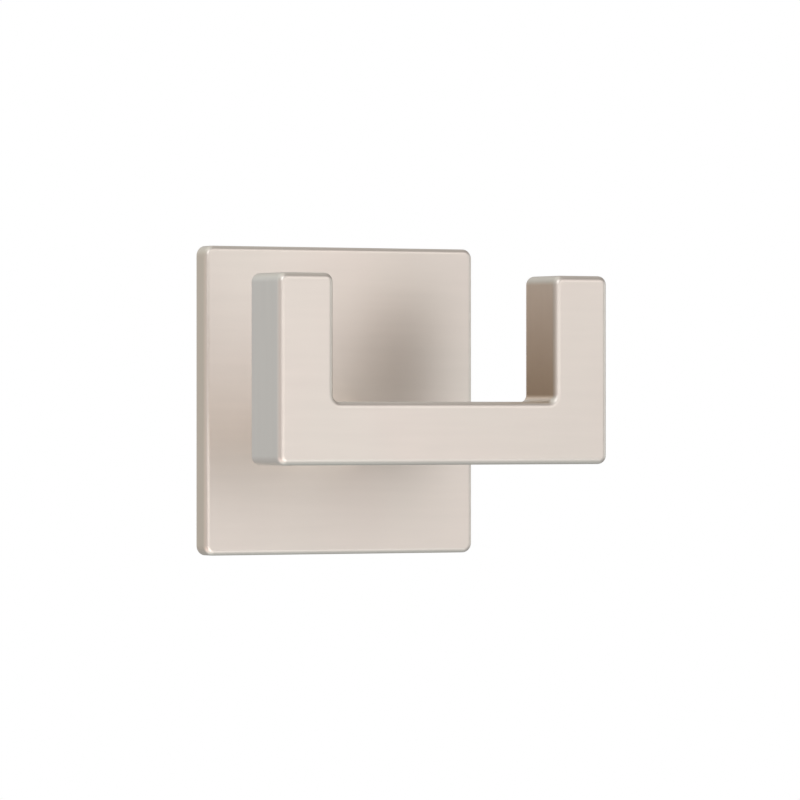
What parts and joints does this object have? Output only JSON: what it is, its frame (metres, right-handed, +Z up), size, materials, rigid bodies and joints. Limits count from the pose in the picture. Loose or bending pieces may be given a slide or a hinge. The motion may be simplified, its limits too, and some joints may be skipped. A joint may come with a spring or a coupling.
{
  "type": "adhesive double hook",
  "caption": "Square satin nickel wall plate with a U-shaped fork of square bar on a short post; a foam pad on the back sticks it to a wall.",
  "frame": {"origin": "centre of the foam pad's back face, which lies on the wall", "axes": "+X right along the fork as someone facing the wall sees it, +Y into the wall, +Z up along the prongs"},
  "size_m": [0.0604, 0.0384, 0.05],
  "materials": {
    "satin_nickel": "satin nickel plating over a zinc casting, finely brushed, with soft reflections",
    "zinc_plated_steel": "bright zinc plating",
    "foam_pad": "dark grey closed-cell acrylic foam, tacky on both faces"
  },
  "bodies": {
    "root": {"backplate": "satin_nickel", "hook_body": "satin_nickel", "post_screw": "zinc_plated_steel", "adhesive_pad": "foam_pad"}
  },
  "joints": []
}
